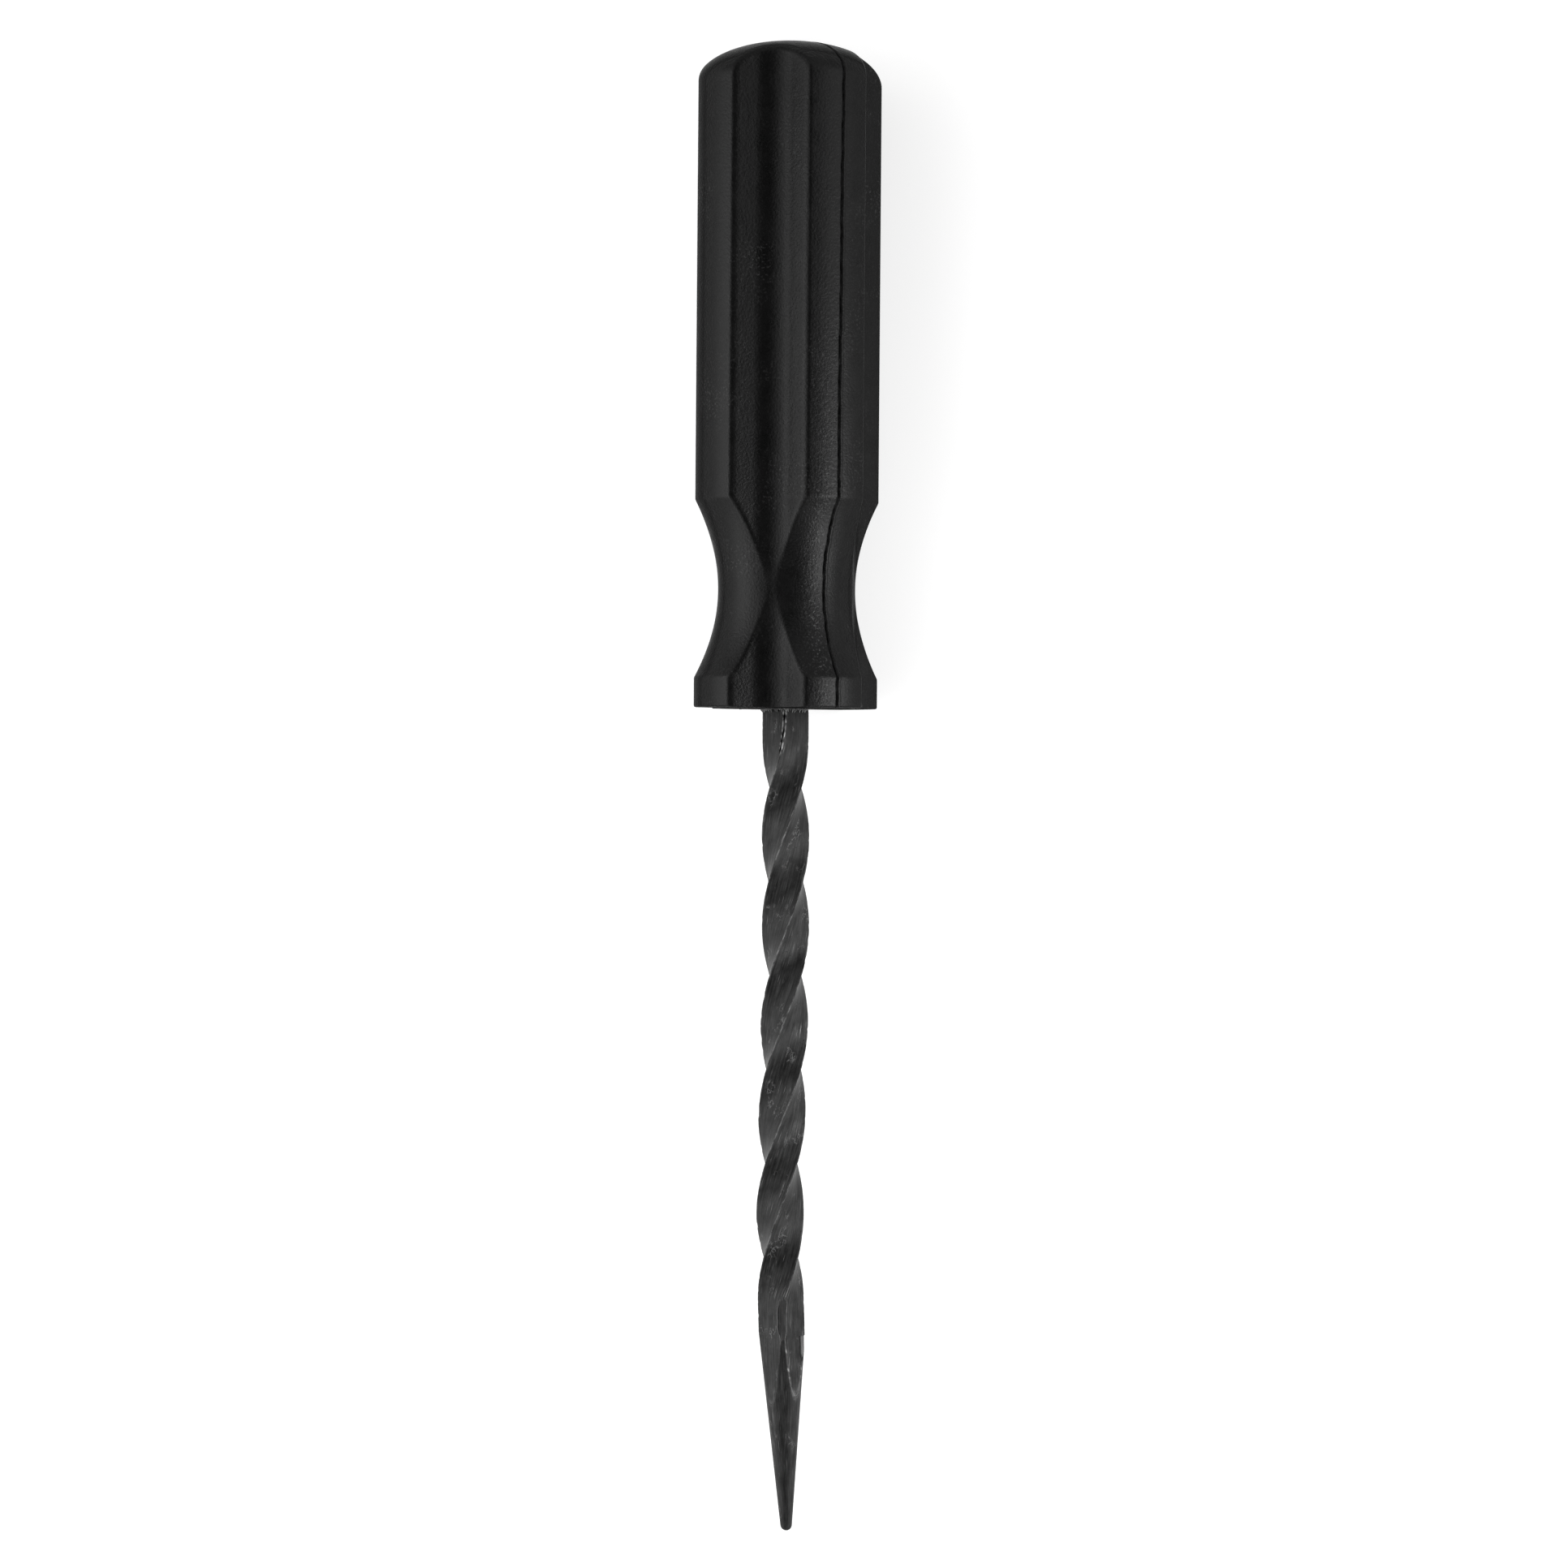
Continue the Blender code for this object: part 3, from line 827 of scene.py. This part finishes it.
def attribute(tree, name, output="Fac"):
    return add_node(tree, "ShaderNodeAttribute", {}, attribute_name=name).outputs[output]


def scaled(tree, vector, scale):
    made = add_node(tree, "ShaderNodeVectorMath", {0: vector, 1: scale}, operation="MULTIPLY")
    return made.outputs[0]


def object_place(tree):
    """Places on the object, in millimetres."""
    return scaled(tree, add_node(tree, "ShaderNodeTexCoord", {}).outputs["Object"], (1 / MM,) * 3)


def bump(tree, height, distance, normal=None):
    inputs = {"Height": height, "Distance": distance, "Strength": 1.0}
    if normal:
        inputs["Normal"] = normal
    return add_node(tree, "ShaderNodeBump", inputs).outputs["Normal"]


def dull_edge(tree, gloss):
    """Gloss of a fine matt surface, which shines less than a smooth one where it is seen edge-on."""
    facing = add_node(tree, "ShaderNodeLayerWeight", {"Blend": 0.5}).outputs["Facing"]
    return remap(tree, facing, DULL_FROM, DULL_TO, gloss, gloss * DULL_SHARE)


def plastic():
    made, tree, shader = make_material("black moulded plastic")
    shader.inputs["Specular IOR Level"].default_value = PLASTIC_GLOSS
    tree.links.new(dull_edge(tree, PLASTIC_GLOSS), shader.inputs["Specular IOR Level"])
    place = object_place(tree)
    grain = noise_map(tree, place, **GRAIN)
    mottle = noise_map(tree, place, **MOTTLE)
    dust = remap(tree, noise_map(tree, place, **DUST), *DUST_RANGE)
    cluster = remap(tree, noise_map(tree, place, **CLUSTER), *CLUSTER_RANGE, *CLUSTER_SHARES)
    dusty = combine(tree, "MAXIMUM", cluster, attribute(tree, "handled"))
    dust = combine(tree, "MULTIPLY", dust, dusty)
    scuff = remap(tree, noise_map(tree, place, **SCUFF), *SCUFF_RANGE)

    colour = remap(tree, mottle, *MOTTLE_RANGE, *MOTTLE_TONES)
    colour = raise_by(tree, colour, dust, DUST_TONE)
    colour = raise_by(tree, colour, scuff, SCUFF_TONE)
    colour = raise_by(tree, colour, attribute(tree, "flash"), FLASH_TONE)
    tree.links.new(colour, shader.inputs["Base Color"])

    smooth, matt = PLASTIC_ROUGHNESS - MOTTLE_POLISH, PLASTIC_ROUGHNESS + MOTTLE_POLISH
    rough = remap(tree, mottle, *MOTTLE_POLISH_RANGE, smooth, matt)
    rough = raise_by(tree, rough, scuff, -SCUFF_POLISH)
    for name in ("groove", "front", "flash"):
        rough = raise_by(tree, rough, attribute(tree, name), MATT_ROUGHNESS)
    tree.links.new(rough, shader.inputs["Roughness"])

    fine = bump(tree, grain, GRAIN_HEIGHT)
    tree.links.new(bump(tree, mottle, MOTTLE_HEIGHT, fine), shader.inputs["Normal"])
    return made


def tear_marks(tree, strip):
    """Thin winding ridges, in a few places, where the bar's skin tore as it was twisted."""
    winding = noise_map(tree, strip, **TEAR)
    off_ridge = absolute(tree, combine(tree, "SUBTRACT", winding, TEAR_MIDDLE))
    places = remap(tree, noise_map(tree, strip, **TORN), *TORN_RANGE)
    return combine(tree, "MULTIPLY", remap(tree, off_ridge, 0.0, TEAR_REACH, 1.0, 0.0), places)


def steel():
    made, tree, shader = make_material("dark oxide steel")
    strip = scaled(tree, attribute(tree, "strip", "Vector"), (1 / MM, 1 / MM, GROUND_LAYER))
    drawn = noise_map(tree, strip, **DRAWN)
    cloud = noise_map(tree, strip, **CLOUD)
    pit = remap(tree, noise_map(tree, strip, **PIT), *PIT_RANGE)
    worn = remap(tree, noise_map(tree, strip, **WORN), *WORN_RANGE)
    scratched = remap(tree, noise_map(tree, strip, **SCRATCHED), *SCRATCHED_RANGE)
    scratch = remap(tree, noise_map(tree, strip, **SCRATCH), *SCRATCH_RANGE)
    # The rim's painted highlight, varied by the wear pattern
    rim_highlight_spread = remap(tree, worn, 0.0, 1.0, *RIM_HIGHLIGHT_SHARES)
    # Rim and its beading are painted highlights; the edge and the side flat are partly painted
    # highlights
    marks = {
        "edge": combine(tree, "MULTIPLY", attribute(tree, "edge"), worn),
        "rim": combine(tree, "MULTIPLY", attribute(tree, "rim"), rim_highlight_spread),
        "scratch": combine(tree, "MULTIPLY", scratch, scratched),
        "tear": tear_marks(tree, strip),
        "burr": attribute(tree, "burr"),
        "filed": attribute(tree, "filed"),
    }

    # Painted shade over the first millimetres of steel beside the handle
    along = add_node(tree, "ShaderNodeSeparateXYZ", {0: strip}).outputs["Y"]
    painted_shade = remap(tree, along, 0.0, STEEL_PAINTED_SHADE_LENGTH, STEEL_PAINTED_SHADE, 1.0)
    colour = remap(tree, cloud, *CLOUD_RANGE, *CLOUD_TONES)
    colour = combine(tree, "MULTIPLY", colour, remap(tree, drawn, *DRAWN_RANGE, *DRAWN_SHARES))
    colour = combine(tree, "MULTIPLY", colour, painted_shade)
    for name, share in STEEL_MARKS.items():
        colour = raise_by(tree, colour, marks[name], STEEL_WORN * share)
    colour = combine(tree, "MULTIPLY", colour, remap(tree, pit, 0.0, 1.0, 1.0, PIT_TONE))
    # Painted shade in the chewed bites and the undercuts
    bite_shading = remap(tree, attribute(tree, "shade_bite"), *BITE_SHADE_RANGE, 1.0, BITE_SHADE_TONE)
    tree.links.new(combine(tree, "MULTIPLY", colour, bite_shading), shader.inputs["Base Color"])

    shader.inputs["Metallic"].default_value = STEEL_METAL
    shader.inputs["Specular IOR Level"].default_value = STEEL_GLOSS
    smooth, matt = STEEL_ROUGHNESS - CLOUD_POLISH, STEEL_ROUGHNESS + CLOUD_POLISH
    tree.links.new(remap(tree, cloud, *CLOUD_RANGE, smooth, matt), shader.inputs["Roughness"])

    lines = bump(tree, drawn, DRAWN_HEIGHT)
    dents = bump(tree, pit, -PIT_DEPTH, lines)
    ridges = bump(tree, marks["tear"], TEAR_HEIGHT, dents)
    tree.links.new(bump(tree, cloud, CLOUD_HEIGHT, ridges), shader.inputs["Normal"])
    return made


def build_floor():
    mesh = bpy.data.meshes.new("floor")
    signs = ((-1, -1), (1, -1), (1, 1), (-1, 1))
    corners = [(x * FLOOR_REACH, y * FLOOR_REACH, 0) for x, y in signs]
    mesh.from_pydata(corners, [], [(0, 1, 2, 3)])
    floor = bpy.data.objects.new("floor", mesh)
    bpy.context.scene.collection.objects.link(floor)

    made = bpy.data.materials.new("pale floor")
    made.use_nodes = True
    tree = made.node_tree
    tree.nodes.clear()
    rays = add_node(tree, "ShaderNodeLightPath", {}).outputs
    seen = combine(tree, "ADD", rays["Is Camera Ray"], rays["Is Glossy Ray"])
    seen = combine(tree, "ADD", seen, rays["Is Transmission Ray"])
    inputs = {0: seen, 1: FLOOR_GLOW}
    glow = add_node(tree, "ShaderNodeMath", inputs, operation="MULTIPLY", use_clamp=True)
    colour = (FLOOR_COLOUR, FLOOR_COLOUR, FLOOR_COLOUR, 1)
    diffuse = add_node(tree, "ShaderNodeBsdfDiffuse", {"Color": colour})
    lit = add_node(tree, "ShaderNodeEmission", {"Strength": glow.outputs[0]})
    both = add_node(tree, "ShaderNodeAddShader", {0: diffuse.outputs[0], 1: lit.outputs[0]})
    add_node(tree, "ShaderNodeOutputMaterial", {"Surface": both.outputs[0]})
    mesh.materials.append(made)


def build_light():
    world = bpy.data.worlds.new("studio")
    bpy.context.scene.world = world
    world.use_nodes = True
    tree = world.node_tree
    background = tree.nodes["Background"]
    background.inputs["Color"].default_value = (1, 1, 1, 1)
    way = add_node(tree, "ShaderNodeTexCoord", {}).outputs["Generated"]
    gap = (math.sin(GAP_TURN), 0, math.cos(GAP_TURN))
    across = add_node(tree, "ShaderNodeVectorMath", {0: way, 1: gap}, operation="DOT_PRODUCT")
    outer, inner = math.cos(GAP_OUTER), math.cos(GAP_INNER)
    rise = soft_step(tree, across.outputs["Value"], outer, inner, WALL_LIGHT, GAP_LIGHT)
    toward_end = absolute(tree, add_node(tree, "ShaderNodeSeparateXYZ", {0: way}).outputs["Y"])
    share = soft_step(tree, toward_end, WALL_MIDDLE, WALL_END, 1.0, END_SHARE)
    tree.links.new(combine(tree, "MULTIPLY", rise, share), background.inputs["Strength"])


def build_lamps():
    for name, (place, length, height, power) in LAMPS.items():
        data = bpy.data.lights.new(name, "AREA")
        data.shape = "RECTANGLE"
        data.size = length
        data.size_y = height
        data.energy = power
        lamp = bpy.data.objects.new(name, data)
        bpy.context.scene.collection.objects.link(lamp)
        back = Vector((place[0], 0, place[2] - AXIS_HEIGHT)).normalized()
        long = Vector((0, 1, 0))
        turned = Matrix((long, back.cross(long), back)).transposed().to_4x4()
        lamp.matrix_world = Matrix.Translation(place) @ turned


def build_camera():
    back = Vector((math.sin(CAMERA_TURN), 0, math.cos(CAMERA_TURN)))
    up = Vector((0, 1, 0))
    right = up.cross(back)
    rolled_right = right * math.cos(CAMERA_ROLL) + up * math.sin(CAMERA_ROLL)
    rolled_up = up * math.cos(CAMERA_ROLL) - right * math.sin(CAMERA_ROLL)
    aim = Vector((0, AIM_ALONG, AXIS_HEIGHT)) + right * AIM_ACROSS
    data = bpy.data.cameras.new("camera")
    data.sensor_width = SENSOR
    data.lens = SENSOR * FOCAL_PIXELS / IMAGE_PIXELS
    data.clip_start = CLIP_START
    camera = bpy.data.objects.new("camera", data)
    bpy.context.scene.collection.objects.link(camera)
    turned = Matrix((rolled_right, rolled_up, back)).transposed().to_4x4()
    camera.matrix_world = Matrix.Translation(aim + back * CAMERA_DISTANCE) @ turned
    bpy.context.scene.camera = camera


bpy.context.scene.view_settings.view_transform = "Standard"
build_camera()
handle = build_handle()
handle.data.materials.append(plastic())
shank = build_shank()
shank.data.materials.append(steel())
build_floor()
build_light()
build_lamps()
